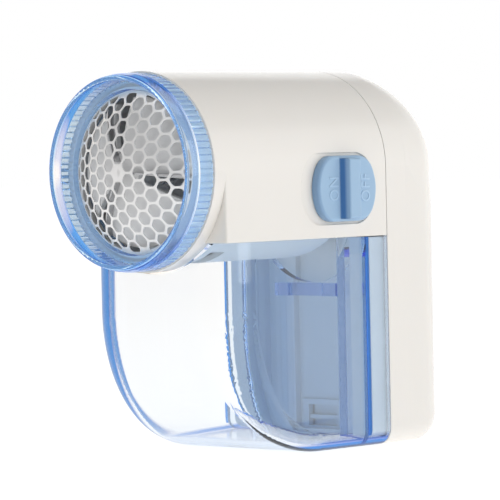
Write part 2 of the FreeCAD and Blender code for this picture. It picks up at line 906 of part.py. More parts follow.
def cutter_hub():
    """Three wide petals under the foil, on a boss that fits the drive sleeve."""
    top = dome_radius() - d.foil_thick - d.cut_gap - d.blade_tall - 0.05
    shell = cut("hub_shell", ball("hub_outer", top), ball("hub_inner", top - d.arm_thick))
    spread = 2 * d.blade_radius * math.sin(math.radians(d.petal_half.value))
    rise = 2 * d.blade_radius * math.cos(math.radians(d.petal_half.value))
    outline = [(0, d.axis_up), (0 - spread, d.axis_up + rise), (spread, d.axis_up + rise)]
    wedge = facing("hub_wedge", outline, 70.0, 100.0)
    middle = rod("hub_middle", 6.5, "y", 70.0, 100.0, (0, d.axis_up))
    wedges = fuse("hub_wedges", middle, *[spin(wedge, angle) for angle in petal_middles()])
    reach = rod("hub_reach", d.blade_radius - 0.5, "y", 70.0, 100.0, (0, d.axis_up))
    petals = common("hub_petals", shell, common("hub_cutter", wedges, reach))
    boss_front = dome_centre() + top
    boss = rod("hub_boss", 5.5, "y", 80.5, boss_front - 0.6, (0, d.axis_up))
    bore = rod("hub_bore", 4.06, "y", 79.0, 87.0, (0, d.axis_up))
    return cut("cutter_hub", fuse("hub_solid", petals, boss), bore)


def cutter_blades():
    """One thin blade standing on each petal."""
    outer = dome_radius() - d.foil_thick - d.cut_gap
    shell = cut("blade_shell", ball("blade_outer", outer), ball("blade_inner", outer - d.blade_tall))
    half = d.blade_thick / 2
    rise = (d.axis_up + 4.0, d.axis_up + d.blade_radius - 0.6)
    bar = block("blade_bar", (0 - half, half), (-100, -70), rise)
    bars = [spin(bar, angle + d.blade_angle.value) for angle in petal_middles()]
    return group(
        "cutter_blades", *[common("blade_{}".format(i), shell, item) for i, item in enumerate(bars)]
    )


def helix_spring(radius, wire, free, turns):
    """A round-wire compression spring standing on the origin."""
    pitch = (free - 2 * wire) / turns
    path = Part.Wire(Part.makeHelix(pitch, free - 2 * wire, radius))
    start = Part.makeCircle(wire, Vector(radius, 0, 0), Vector(0, 1, 0))
    spring = path.makePipeShell([Part.Wire(start)], True, True)
    return spring.translated(Vector(0, 0, wire))


def cutter_spring():
    """Presses the cutter against the foil from behind."""
    spring = helix_spring(4.75, 0.3, 9.0, 4)
    turn = Placement(Vector(0, -71.0, d.axis_up.value), Rotation(Vector(1, 0, 0), 90))
    return shaped("cutter_spring", spring, turn)


def drive_sleeve():
    """The stepped plastic sleeve between motor shaft and cutter."""
    bore = d.shaft + 0.03
    return turned(
        "drive_sleeve",
        [
            (61.6, bore),
            (61.6, 5.4),
            (70.6, 5.4),
            (70.6, 4.0),
            (86.2, 4.0),
            (86.2, bore),
        ],
    )


# ---------------------------------------------------------------- drive


def ring_cut(name, outer, inner, start, end):
    return cut(
        name,
        rod(name + "_outer", outer, "y", start, end, (0, d.axis_up)),
        rod(name + "_inner", inner, "y", start - 1, end + 1, (0, d.axis_up)),
    )


def flatted(name, radius, flat, start, end):
    """A motor-shaped bar: round, with a flat above and below."""
    round_bar = rod(name + "_round", radius, "y", start, end, (0, d.axis_up))
    slab = block(name + "_slab", (-20, 20), (0 - end, 0 - start), (d.axis_up - flat, d.axis_up + flat))
    return common(name, round_bar, slab)


MOTOR_SCREW_X = (-8, 8)
MOTOR_TERMINAL_X = (-7, 7)


def chamber_bulkhead():
    """Closes the cutting chamber and carries the motor."""
    start, end = 58.2, 60.2
    disc = rod("bulkhead_disc", 29.0, "y", start, end, (0, d.axis_up))
    ribs = [
        ring_cut("bulkhead_rib_{}".format(i), radius, radius - 1.2, end - 0.1, end + 1.0)
        for i, radius in enumerate((28.6, 14.0))
    ]
    hole = rod("bulkhead_hole", 3.4, "y", start - 1, end + 2, (0, d.axis_up))
    screw_holes = [
        rod("bulkhead_screw_hole_{}".format(i), 1.1, "y", start - 1, end + 1, (x, d.axis_up))
        for i, x in enumerate(MOTOR_SCREW_X)
    ]
    return cut("chamber_bulkhead", fuse("bulkhead_solid", disc, *ribs), hole, *screw_holes)


def motor_can():
    skin = 0.8
    outer = flatted("can_outer", d.motor_radius, d.motor_flat, d.motor_rear, d.motor_reach)
    inner = flatted(
        "can_inner", d.motor_radius - skin, d.motor_flat - skin, d.motor_rear - 1, d.motor_reach - skin
    )
    boss = rod("can_boss", 3.1, "y", d.motor_reach - 0.1, d.motor_reach + 1.4, (0, d.axis_up))
    bore = rod("can_bore", 2.45, "y", d.motor_reach - 2, d.motor_reach + 3, (0, d.axis_up))
    screw_holes = [
        rod("can_screw_hole_{}".format(i), 1.05, "y", d.motor_reach - 2, d.motor_reach + 1, (x, d.axis_up))
        for i, x in enumerate(MOTOR_SCREW_X)
    ]
    return cut("motor_can", fuse("can_solid", outer, boss), inner, bore, *screw_holes)


def motor_bush():
    return ring_cut("motor_bush", 2.4, d.shaft + 0.03, d.motor_reach - 1.0, d.motor_reach + 1.6)


def motor_magnets():
    """Two curved magnets inside the can."""
    ring = ring_cut("magnet_ring", d.motor_radius - 0.9, d.motor_radius - 3.0, 33.0, 54.0)
    pieces = []
    for side, sign in (("left", -1), ("right", 1)):
        slab = block(
            "magnet_slab_" + side, ordered(sign * 4.0, sign * 13.0), (-54.5, -32.5), about(d.axis_up, 7)
        )
        pieces.append(common("magnet_" + side, ring, slab))
    return group("motor_magnets", *pieces)


def motor_rotor():
    """The wound core that turns on the shaft."""
    core = ring_cut("rotor_core", 8.4, d.shaft + 0.02, 34.0, 53.0)
    collector = ring_cut("rotor_collector", 3.0, d.shaft + 0.02, 28.5, 34.0)
    slots = []
    for i in range(3):
        slot = block(
            "rotor_slot_{}".format(i), (-1.6, 1.6), (-53.5, -33.5), (d.axis_up + 4.5, d.axis_up + 10)
        )
        slots.append(spin(slot, 120.0 * i + 30))
    return cut("motor_rotor", fuse("rotor_solid", core, collector), *slots)


def motor_shaft():
    return rod("motor_shaft", d.shaft, "y", 23.6, 84.0, (0, d.axis_up))


def motor_end_cap():
    rear = d.motor_rear
    cap = flatted("cap_outer", d.motor_radius - 0.05, d.motor_flat - 0.05, rear - 2.2, rear - 0.05)
    plug = flatted("cap_plug", d.motor_radius - 0.9, d.motor_flat - 0.9, rear - 0.1, rear + 2)
    bore = rod("cap_bore", d.shaft + 0.05, "y", 20.0, 32.0, (0, d.axis_up))
    slots = [
        block("cap_slot_{}".format(i), about(x, 1.6), (-30, -20), about(d.axis_up, 0.35))
        for i, x in enumerate(MOTOR_TERMINAL_X)
    ]
    return cut("motor_end_cap", fuse("cap_solid", cap, plug), bore, *slots)


def motor_terminals():
    return group(
        "motor_terminals",
        *[
            block("motor_terminal_{}".format(i), about(x, 1.4), (-27.6, -19.5), about(d.axis_up, 0.2))
            for i, x in enumerate(MOTOR_TERMINAL_X)
        ],
    )


def pan_screw(name, x, up, head_reach, facing_front, shank, long_, head, head_thick):
    """A pan-head screw along y, its head's underside at head_reach."""
    out = 1 if facing_front else -1
    tip = head_reach - out * long_
    top = head_reach + out * head_thick
    shank_rod = rod(name + "_shank", shank, "y", min(tip, head_reach), max(tip, head_reach), (x, up))
    head_rod = rod(name + "_head", head, "y", min(top, head_reach), max(top, head_reach), (x, up))
    deep = ordered(-top - out * 0.5, -top + out * 0.8)
    across = block(name + "_slot_a", about(x, 0.35), deep, about(up, 1.5))
    upright = block(name + "_slot_b", about(x, 1.5), deep, about(up, 0.35))
    return cut(name, fuse(name + "_solid", shank_rod, head_rod), across, upright)


def motor_screws():
    return group(
        "motor_screws",
        *[
            pan_screw("motor_screw_{}".format(i), x, d.axis_up.value, 60.25, True, 1.0, 4.2, 1.9, 1.0)
            for i, x in enumerate(MOTOR_SCREW_X)
        ],
    )


def housing_screws():
    return group(
        "housing_screws",
        *[
            pan_screw("housing_screw_{}".format(i), x, SCREW_UP, -8.1, False, 1.4, 19.0, 2.8, 2.0)
            for i, x in enumerate((-SCREW_X, SCREW_X))
        ],
    )


# ---------------------------------------------------------------- switch


def switch_button():
    """The truncated-circle slide button with its grip bar, and the stem that works the switch."""
    inner_x = d.body_half - 1.2 + 0.1
    outer_x = d.body_half + d.button_proud
    disc = pad(
        "button_disc",
        "YZ_Plane",
        button_outline(d.button_radius, d.button_half, d.button_reach, d.button_up),
        inner_x,
        outer_x,
    )

    def on_corner(edge):
        ends = edge.Vertexes
        on_flat = abs(abs(ends[0].Z - d.button_up.value) - d.button_half.value) < 0.01
        return on_flat and abs(ends[0].X - ends[-1].X) > 1

    def on_face(edge):
        return all(abs(v.X - outer_x.value) < 0.01 for v in edge.Vertexes)

    round_edges(disc, d.button_corner, on_corner)
    round_edges(disc, 1.2, on_face)
    bar_half, bar_tall, taper = 4.3, 10.2, 1.5
    middle = 0 - d.button_reach
    bar = pad(
        "button_bar",
        "XY_Plane",
        [
            (outer_x - 0.2, middle - bar_half),
            (outer_x + d.bar_proud, middle - bar_half + taper),
            (outer_x + d.bar_proud, middle + bar_half - taper),
            (outer_x - 0.2, middle + bar_half),
        ],
        d.button_up - bar_tall,
        d.button_up + bar_tall,
    )

    def on_bar(edge):
        return all(abs(v.X - (outer_x + d.bar_proud).value) < 0.01 for v in edge.Vertexes)

    round_edges(bar, 0.8, on_bar)
    stem = block(
        "button_stem", (25.1, inner_x + 0.2), (middle - 3, middle + 3), (d.button_up - 2.5, d.button_up + 2.5)
    )
    return fuse("switch_button", disc, bar, stem)


SWITCH_X = (17.0, 24.0)


def switch_body():
    """The metal-cased slide switch inside the housing's side."""
    low, high = 12.0, 36.0
    case = block("switch_case", SWITCH_X, (-high, -low), about(d.button_up, 5))
    middle = 0 - d.button_reach
    slot = block(
        "switch_slot", (20.0, 25.0), (middle - d.travel - 2.6, middle + 2.6), about(d.button_up, 2.2)
    )
    return cut("switch_body", case, slot)


def switch_lever():
    """The switch's own slider, held by the button's stem."""
    middle = 0 - d.button_reach
    return block("switch_lever", (20.2, 25.0), about(middle, 2.2), about(d.button_up, 1.9))


def switch_terminals():
    return group(
        "switch_terminals",
        *[
            block("switch_terminal_{}".format(i), (13.2, 16.95), about(-y, 0.9), about(d.button_up, 0.2))
            for i, y in enumerate((15.5, 20.5))
        ],
    )


# ---------------------------------------------------------------- power


TRAY = {"low": 5.2, "high": 66.5, "front": 5.8, "rear": 16.0, "half": 17.0}
CONTACT_LOW = 7.1
CONTACT_HIGH = 62.9
CONTACT_THICK = 0.4


def battery_tray():
    """The cradle for two AA cells side by side."""
    body = block(
        "tray_body", about(0, TRAY["half"]), (TRAY["front"], TRAY["rear"]), (TRAY["low"], TRAY["high"])
    )
    wells = [
        rod("tray_well_{}".format(i), d.cell_radius + 0.3, "z", 6.9, 63.5, (x, d.cell_deep))
        for i, x in enumerate((0 - d.cell_across, d.cell_across))
    ]
    ends = [
        block("tray_end_low", (-15.2, 15.2), (8.2, 20), (6.9, 7.7)),
        block("tray_end_high", (-15.2, 15.2), (8.2, 20), (62.7, 63.5)),
    ]
    wire_slots = [
        rod("tray_wire_slot_{}".format(i), 1.2, "z", 62, 70, (x, 12.0)) for i, x in enumerate((-8, 8))
    ]
    latch_room = block("tray_latch_room", (-7, 7), (5, 6.6), (4, 17))
    return cut("battery_tray", body, *wells, *ends, *wire_slots, latch_room)


def cell(name, x, low, nub_up):
    """An AA cell standing at low, with its nub above or below."""
    nub = 1.2
    start = low if nub_up else low + nub
    can = rod(name + "_can", d.cell_radius, "z", start, start + d.cell_long, (x, d.cell_deep))
    nub_start = start + d.cell_long if nub_up else low
    tip = rod(name + "_nub", 2.75, "z", nub_start, nub_start + nub, (x, d.cell_deep))
    return fuse(name, can, tip)


def battery_left():
    return cell("battery_left", 0 - d.cell_across, Dim(12.3, "12.3"), True)


def battery_right():
    return cell("battery_right", d.cell_across, Dim(7.6, "7.6"), False)


def battery_springs():
    """The two coil springs that press on the cells' flat ends."""
    low = helix_spring(4.0, 0.4, 4.5, 3)
    x, y = d.cell_across.value, d.cell_deep.value
    left = shaped("spring_left", low, Placement(Vector(-x, y, 7.6), Rotation()))
    right = shaped("spring_right", low, Placement(Vector(x, y, 58.2), Rotation()))
    return group("battery_springs", left, right)


def bridge_contact():
    """Joins the two cells at their lower ends."""
    return block("bridge_contact", (-14, 14), (10, 20), (CONTACT_LOW, CONTACT_LOW + CONTACT_THICK))


def top_contact(name, sign):
    """The plate over one cell's upper end."""
    x = tuple(sorted((sign * 2.0, sign * 14.0)))
    return block(name, x, (10, 20), (CONTACT_HIGH, CONTACT_HIGH + CONTACT_THICK))


WIRE = 0.7


def wire(name, points):
    """A round insulated wire along a smooth path."""
    path = Part.BSplineCurve()
    path.interpolate([Vector(*p) for p in points])
    spine = Part.Wire(path.toShape())
    start = path.tangent(path.FirstParameter)[0]
    section = Part.Wire(Part.makeCircle(WIRE, Vector(*points[0]), start))
    return shaped(name, spine.makePipeShell([section], True, True))


def wires():
    top = CONTACT_HIGH + CONTACT_THICK + 0.3
    up = d.button_up.value
    axis = d.axis_up.value
    runs = {
        "wire_red": [(-8, 12, top), (-8, 12, 70), (-2, 6, 80), (7, -6, 87), (12.4, -15.5, up)],
        "wire_black": [(8, 12, top), (8, 12, 74), (9, 4, 90), (8, -10, axis + 1), (7, -18.7, axis)],
        "wire_link": [
            (12.4, -20.5, up),
            (8, -15, up - 3),
            (-2, -12, up),
            (-7, -14, axis - 2),
            (-7, -18.7, axis),
        ],
    }
    for name, run in runs.items():
        node(name, wire(name, run))


# ---------------------------------------------------------------- assembly


def build():
    node("front_housing", front_housing())
    outside = shaped("cover_outside", cover_solid(0.0, 0.0))
    node("rear_cover", rear_cover(outside))
    node("battery_door", battery_door(outside))
    for make in (
        handle_frame,
        container_latch,
        lint_container,
        motor_cowl,
        spacing_guard,
        foil_ring,
        foil,
        foil_frame,
        cutter_hub,
        cutter_blades,
        cutter_spring,
        drive_sleeve,
        chamber_bulkhead,
        motor_can,
        motor_bush,
        motor_magnets,
        motor_rotor,
        motor_shaft,
        motor_end_cap,
        motor_terminals,
        motor_screws,
        housing_screws,
        switch_button,
        switch_body,
        switch_lever,
        switch_terminals,
        battery_tray,
        battery_left,
        battery_right,
        battery_springs,
        bridge_contact,
    ):
        node(make.__name__, make())
    node("positive_contact", top_contact("positive_contact", -1))
    node("negative_contact", top_contact("negative_contact", 1))
    wires()


def check_and_export():
    doc.recompute()
    failed = [o.Label for o in doc.Objects if {"Invalid", "Error"} & set(o.State)]
    failed += [o.Label for o in nodes if o.Shape.isNull() or not o.Shape.isValid() or not o.Shape.Solids]
    if failed:
        raise RuntimeError("not built: " + ", ".join(failed))
    os.makedirs("parts", exist_ok=True)
    for item in nodes:
        item.Shape.exportStep(os.path.join("parts", item.Label + ".step"))


build()
check_and_export()
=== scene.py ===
"""Looks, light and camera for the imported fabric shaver.

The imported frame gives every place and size. The values below it are the object's own small details,
in metres. The frame has +Z up, -Y where the shaving head faces and +X at the slide button. "Reach" is
minus Y.
"""

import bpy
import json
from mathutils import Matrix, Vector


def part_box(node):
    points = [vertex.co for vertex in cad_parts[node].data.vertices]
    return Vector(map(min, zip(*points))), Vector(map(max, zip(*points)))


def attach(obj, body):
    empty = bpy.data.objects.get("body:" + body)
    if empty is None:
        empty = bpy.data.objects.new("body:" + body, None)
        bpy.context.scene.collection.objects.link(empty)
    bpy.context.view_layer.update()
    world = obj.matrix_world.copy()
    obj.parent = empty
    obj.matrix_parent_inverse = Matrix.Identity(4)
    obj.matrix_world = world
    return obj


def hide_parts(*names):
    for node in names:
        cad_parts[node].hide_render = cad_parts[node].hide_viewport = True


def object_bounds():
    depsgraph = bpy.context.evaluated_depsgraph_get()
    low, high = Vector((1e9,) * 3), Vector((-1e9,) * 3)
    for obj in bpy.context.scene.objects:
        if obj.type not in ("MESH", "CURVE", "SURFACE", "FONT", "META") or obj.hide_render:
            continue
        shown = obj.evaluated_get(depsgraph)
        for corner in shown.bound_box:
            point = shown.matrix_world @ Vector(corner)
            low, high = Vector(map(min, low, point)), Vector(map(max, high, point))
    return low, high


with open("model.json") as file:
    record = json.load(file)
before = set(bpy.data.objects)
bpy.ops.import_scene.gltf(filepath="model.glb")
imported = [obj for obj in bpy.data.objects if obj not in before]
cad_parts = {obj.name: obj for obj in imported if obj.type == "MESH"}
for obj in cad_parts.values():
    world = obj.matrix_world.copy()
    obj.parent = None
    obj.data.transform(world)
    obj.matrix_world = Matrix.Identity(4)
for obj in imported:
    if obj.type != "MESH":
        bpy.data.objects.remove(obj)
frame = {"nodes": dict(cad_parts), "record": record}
cad_box = [list(corner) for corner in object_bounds()]

import json
import math

import bmesh
import bpy
from mathutils import Matrix, Vector

MM = 0.001


# ---------------------------------------------------------------- places, all from the frame


def centre_of(node):
    low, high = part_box(node)
    return (low + high) / 2


GUARD_LOW, GUARD_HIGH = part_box("spacing_guard")
GUARD_RADIUS = GUARD_HIGH.x
GUARD_WALL = 1.8 * MM
GRIP_LONG = 6.2 * MM
HEAD = Vector((0.0, GUARD_LOW.y, centre_of("spacing_guard").z))

CONTAINER_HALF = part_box("lint_container")[1].x
REAR_WALL = (-11.9 * MM, -10.1 * MM)
FLOOR_TOP = 2.2 * MM
TAB_HALF = 14.2 * MM
TAB_HEIGHT = (50.8 * MM, 55.6 * MM)
TAB_DEPTH = (-7.0 * MM, -3.9 * MM)

BUTTON = centre_of("switch_button")
BAR_PROUD = 3.4 * MM
BUTTON_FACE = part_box("switch_button")[1].x - BAR_PROUD
LETTER_HIGH = 4.5 * MM
ON_AHEAD = 7.0 * MM
OFF_BEHIND = 9.0 * MM


# ---------------------------------------------------------------- shader building


class Shader:
    """The node tree of a material or of the world, under construction."""

    def __init__(self, owner, output="ShaderNodeOutputMaterial", place="Object"):
        owner.use_nodes = True
        self.owner = owner
        self.tree = owner.node_tree
        self.tree.nodes.clear()
        self.output = self.tree.nodes.new(output)
        self.place = self.node("ShaderNodeTexCoord").outputs[place]

    def node(self, kind, inputs=None, **settings):
        """Adds a node. An input is a value, or another node's output."""
        made = self.tree.nodes.new(kind)
        for key, value in settings.items():
            setattr(made, key, value)
        for key, value in (inputs or {}).items():
            self.feed(made.inputs[key], value)
        return made

    def feed(self, socket, value):
        if isinstance(value, bpy.types.NodeSocket):
            self.tree.links.new(value, socket)
        else:
            socket.default_value = value

    def surface(self, closure):
        """Sets the surface, and gives back the material or world."""
        self.feed(self.output.inputs["Surface"], closure)
        return self.owner

    def noise(self, size, detail=2.0, stretch=(1.0, 1.0, 1.0)):
        """Soft random values, about size across, drawn out along an axis by stretch."""
        mapped = self.node("ShaderNodeMapping", {"Vector": self.place, "Scale": stretch})
        texture = self.node(
            "ShaderNodeTexNoise", {"Vector": mapped.outputs[0], "Scale": 1.0 / size, "Detail": detail}
        )
        return texture.outputs["Fac"]

    def spread(self, value, low, high, start=0.3, end=0.7):
        """Maps start to end, by default the middle of a noise, onto low to high, and holds the ends."""
        ranged = self.node(
            "ShaderNodeMapRange",
            {"Value": value, "From Min": start, "From Max": end, "To Min": low, "To Max": high},
        )
        return ranged.outputs[0]

    def blend(self, factor, first, second):
        """The first colour at nought, the second at one."""
        mixed = self.node("ShaderNodeMix", data_type="RGBA")
        self.feed(mixed.inputs["Factor"], factor)
        self.feed(mixed.inputs["A"], first)
        self.feed(mixed.inputs["B"], second)
        return mixed.outputs["Result"]

    def maths(self, operation, first, second=0.0):
        """One Math node."""
        result = self.node("ShaderNodeMath", operation=operation)
        self.feed(result.inputs[0], first)
        self.feed(result.inputs[1], second)
        return result.outputs[0]

    def between(self, value, low, high, soft=0.3 * MM):
        """One where the value lies from low to high, nought further away than soft."""
        away = self.maths("ABSOLUTE", self.maths("SUBTRACT", value, (low + high) / 2))
        half = (high - low) / 2
        return self.spread(away, 1.0, 0.0, half, half + soft)

    def soft_edges(self, radius):
        """A normal that rounds the edges off by a small radius."""
        return self.node("ShaderNodeBevel", {"Radius": radius}, samples=4).outputs[0]

    def edge_mask(self, soft_normal):
        """One at edges, nought on open faces."""
        dot = self.node("ShaderNodeVectorMath", {0: soft_normal, 1: self.normal()}, operation="DOT_PRODUCT")
        return self.spread(dot.outputs["Value"], 1.0, 0.0, 0.75, 0.98)

    def normal(self):
        """The bare geometric normal."""
        return self.node("ShaderNodeNewGeometry").outputs["Normal"]

    def part_of(self, vector, axis):
        return self.node("ShaderNodeSeparateXYZ", {"Vector": vector}).outputs[axis]

    def bump(self, height, depth, normal=None):
        made = self.node("ShaderNodeBump", {"Height": height, "Distance": depth})
        if normal is not None:
            self.feed(made.inputs["Normal"], normal)
        return made.outputs[0]


def shade(color, factor):
    """A colour made lighter or darker."""
    return tuple(min(1.0, c * factor) for c in color) + (1.0,)


def plastic(name, color, roughness, grain=0.25 * MM, glow=0.0, variation=0.03, edge=1.04):
    """Moulded opaque plastic: fine grain, slow changes of colour and gloss, and a painted highlight that
    makes the edges slightly lighter.
    """
    s = Shader(bpy.data.materials.new(name))
    soft = s.soft_edges(0.3 * MM)
    tone = s.blend(s.noise(14 * MM, 3.0), shade(color, 1 - variation), shade(color, 1 + variation))
    # Painted highlight: the edges take a slightly lighter tone.
    tone = s.blend(s.edge_mask(soft), tone, shade(color, edge))
    dull = s.spread(s.noise(5 * MM, 4.0), roughness - 0.05, roughness + 0.06)
    normal = s.bump(s.noise(grain, 3.0), 0.006 * MM, soft)
    normal = s.bump(s.noise(18 * MM, 1.0), 0.03 * MM, normal)
    body = s.node(
        "ShaderNodeBsdfPrincipled",
        {
            "Base Color": tone,
            "Roughness": dull,
            "Normal": normal,
            "Subsurface Weight": glow,
            "Subsurface Radius": (1.0, 0.8, 0.6),
            "Subsurface Scale": 1.2 * MM,
        },
    )
    return s.surface(body.outputs[0])


def button_plastic(name, face, shadow):
    """The button's plastic, with painted shade: its tone deepens to the shadow colour on the steep front
    side of the grip bar and round the rim.
    """
    s = Shader(bpy.data.materials.new(name))
    soft = s.soft_edges(0.7 * MM)
    # Painted shade: the steep front side of the grip bar takes the shadow colour, the rim less of it, and
    # the bar is lighter near its top.
    forwards = s.maths("MULTIPLY", s.part_of(soft, "Y"), -1.0)
    steep = s.spread(forwards, 0.0, 1.0, 0.1, 0.95)
    out = s.part_of(s.place, "X")
    on_bar = s.spread(out, 0.35, 1.0, BUTTON_FACE - 0.3 * MM, BUTTON_FACE + 0.1 * MM)
    below_top = s.spread(out, 1.0, 0.3, BUTTON_FACE + 1.5 * MM, BUTTON_FACE + 2.4 * MM)
    shaded = s.maths("MULTIPLY", s.maths("MULTIPLY", steep, on_bar), below_top)
    tone = s.blend(s.noise(12 * MM, 3.0), shade(face, 0.97), shade(face, 1.03))
    tone = s.blend(shaded, tone, shade(shadow, 1.0))
    dull = s.spread(s.noise(4 * MM, 4.0), 0.36, 0.46)
    normal = s.bump(s.noise(0.25 * MM, 3.0), 0.006 * MM, soft)
    body = s.node(
        "ShaderNodeBsdfPrincipled",
        {
            "Base Color": tone,
            "Roughness": dull,
            "Normal": normal,
            "Subsurface Weight": 0.08,
            "Subsurface Radius": (0.5, 0.8, 1.0),
            "Subsurface Scale": 1.0 * MM,
        },
    )
    return s.surface(body.outputs[0])


def metal(name, color, roughness, stretch=(1.0, 1.0, 1.0), smudge=0.15, purity=1.0):
    """Bare metal with drawn-out fine lines and duller smudges. Lower purity gives an etched, satin face."""
    s = Shader(bpy.data.materials.new(name))
    soft = s.soft_edges(0.08 * MM)
    tone = s.blend(s.noise(6 * MM, 3.0), shade(color, 0.9), shade(color, 1.05))
    dull = s.spread(s.noise(8 * MM, 4.0), roughness, roughness + smudge)
    normal = s.bump(s.noise(0.2 * MM, 2.0, stretch), 0.004 * MM, soft)
    body = s.node(
        "ShaderNodeBsdfPrincipled",
        {"Base Color": tone, "Metallic": purity, "Roughness": dull, "Normal": normal},
    )
    return s.surface(body.outputs[0])


def wall_ends(s):
    """One where the eye looks along inside the container's rear wall or floor, less on the catch tab. It
    places the deep tint and the painted blue glow of the clear plastic.
    """
    across, along, up = [s.part_of(s.place, axis) for axis in "XYZ"]
    side = s.maths("ABSOLUTE", across)
    at_side = s.spread(side, 0.0, 1.0, CONTAINER_HALF - 0.6 * MM, CONTAINER_HALF - 0.3 * MM)
    in_rear_wall = s.maths("MULTIPLY", at_side, s.between(along, *REAR_WALL))
    level = s.maths("ABSOLUTE", s.part_of(s.normal(), "Z"))
    upright = s.spread(level, 1.0, 0.0, 0.85, 0.95)
    in_floor = s.maths("MULTIPLY", upright, s.spread(up, 1.0, 0.0, FLOOR_TOP, FLOOR_TOP + 1.2 * MM))
    tab_wide = s.spread(side, 0.6, 0.0, TAB_HALF, TAB_HALF + 0.2 * MM)
    tab_slice = s.maths("MULTIPLY", s.between(up, *TAB_HEIGHT), s.between(along, *TAB_DEPTH))
    in_tab = s.maths("MULTIPLY", tab_wide, tab_slice)
    return s.maths("MAXIMUM", s.maths("MAXIMUM", in_rear_wall, in_floor), in_tab)


def grazing_mask(s, grazes, level_share):
    """One where a wall is seen edge-on. Rounded side corners deepen over the range grazes, other walls
    later, and a level wall counts as less edge-on by level_share."""
    facing = s.node("ShaderNodeLayerWeight", {"Blend": 0.5}).outputs["Facing"]
    normal = s.normal()
    sideways = s.maths("ABSOLUTE", s.part_of(normal, "X"))
    upwards = s.maths("ABSOLUTE", s.part_of(normal, "Z"))
    not_front = s.spread(sideways, 0.0, 1.0, 0.05, 0.2)
    not_side = s.spread(sideways, 1.0, 0.0, 0.975, 0.998)
    corner = s.maths("MULTIPLY", not_front, not_side)
    level = s.maths("MULTIPLY", s.maths("POWER", upwards, 4.0), level_share)
    grazing = s.maths("SUBTRACT", facing, level)
    at_corner = s.maths("MULTIPLY", corner, s.spread(grazing, 0.0, 1.0, *grazes))
    return s.maths("MAXIMUM", at_corner, s.spread(grazing, 0.0, 1.0, 0.6, 0.85))


# The colour of the painted glow where the container's walls end.
PAINTED_GLOW_BLUE = (0.002, 0.04, 0.14)
DEEP_BLUE = (0.001, 0.055, 0.38)
MID_BLUE = (0.012, 0.12, 0.64)
LIGHT_BLUE = (0.66, 0.84, 1.0)
CLEAR = (1.0, 1.0, 1.0)


def absorption(s, absorb):
    """Takes up light on its way through the wall. Absorb is the share per metre of red, green and blue."""
    strongest = max(absorb)
    color = tuple(1 - share / strongest for share in absorb) + (1.0,)
    volume = s.node("ShaderNodeVolumeAbsorption", {"Color": color, "Density": strongest})
    s.feed(s.output.inputs["Volume"], volume.outputs[0])


def clear_plastic(
    name, absorb, edge, grazes, level_share=0.0, roughness=0.0, cloud=0.0, tint=CLEAR, ends=None
):
    """Dyed clear plastic. A wall seen edge-on takes the edge colour, as grazing_mask says. Where ends says,
    the wall also glows with a painted blue light, in place of light gathered in the wall. Cloud is the
    milky share. Light that only shines through keeps its way, so the inside stays evenly lit."""
    s = Shader(bpy.data.materials.new(name))
    waves = s.bump(s.noise(25 * MM, 1.0), 0.02 * MM)
    scratches = s.noise(1.2 * MM, 4.0, (1.0, 1.0, 0.15))
    dull = s.spread(scratches, roughness, roughness + 0.01, 0.55, 0.8)
    # Painted light: an emission where the eye looks along a wall, in place of light gathered in it.
    painted_glow = ends(s) if ends else 0.0
    deep = s.maths("MAXIMUM", grazing_mask(s, grazes, level_share), painted_glow)
    glass = s.node(
        "ShaderNodeBsdfPrincipled",
        {
            "Base Color": s.blend(deep, shade(tint, 1.0), shade(edge, 1.0)),
            "Roughness": dull,
            "IOR": 1.5,
            "Transmission Weight": 1.0 - cloud,
            "Normal": waves,
            "Emission Color": PAINTED_GLOW_BLUE + (1.0,),
            "Emission Strength": painted_glow,
        },
    )
    path = s.node("ShaderNodeLightPath").outputs
    indirect = s.maths("MAXIMUM", path["Is Shadow Ray"], path["Is Diffuse Ray"])
    through = s.node("ShaderNodeBsdfTransparent", {"Color": (0.96, 0.97, 0.98, 1.0)})
    mixed = s.node("ShaderNodeMixShader", {0: indirect, 1: glass.outputs[0], 2: through.outputs[0]})
    absorption(s, absorb)
    return s.surface(mixed.outputs[0])


def blue_plastics():
    """The container, the guard's tube and ribbed band, and the foil ring."""
    container = {"level_share": 0.6, "ends": wall_ends}
    grip = {"roughness": 0.03, "cloud": 0.3, "tint": LIGHT_BLUE}
    ring = {"roughness": 0.1, "cloud": 0.4, "tint": LIGHT_BLUE}
    return {
        "clear_blue": clear_plastic("clear_blue", (69.0, 37.0, 7.5), DEEP_BLUE, (0.36, 0.46), **container),
        "guard_blue": clear_plastic("guard_blue", (105.0, 48.0, 4.0), MID_BLUE, (0.22, 0.55)),
        "grip_blue": clear_plastic("grip_blue", (60.0, 30.0, 5.0), MID_BLUE, (0.4, 0.9), **grip),
        "tinted_blue": clear_plastic("tinted_blue", (90.0, 50.0, 8.0), MID_BLUE, (0.5, 0.9), **ring),
    }


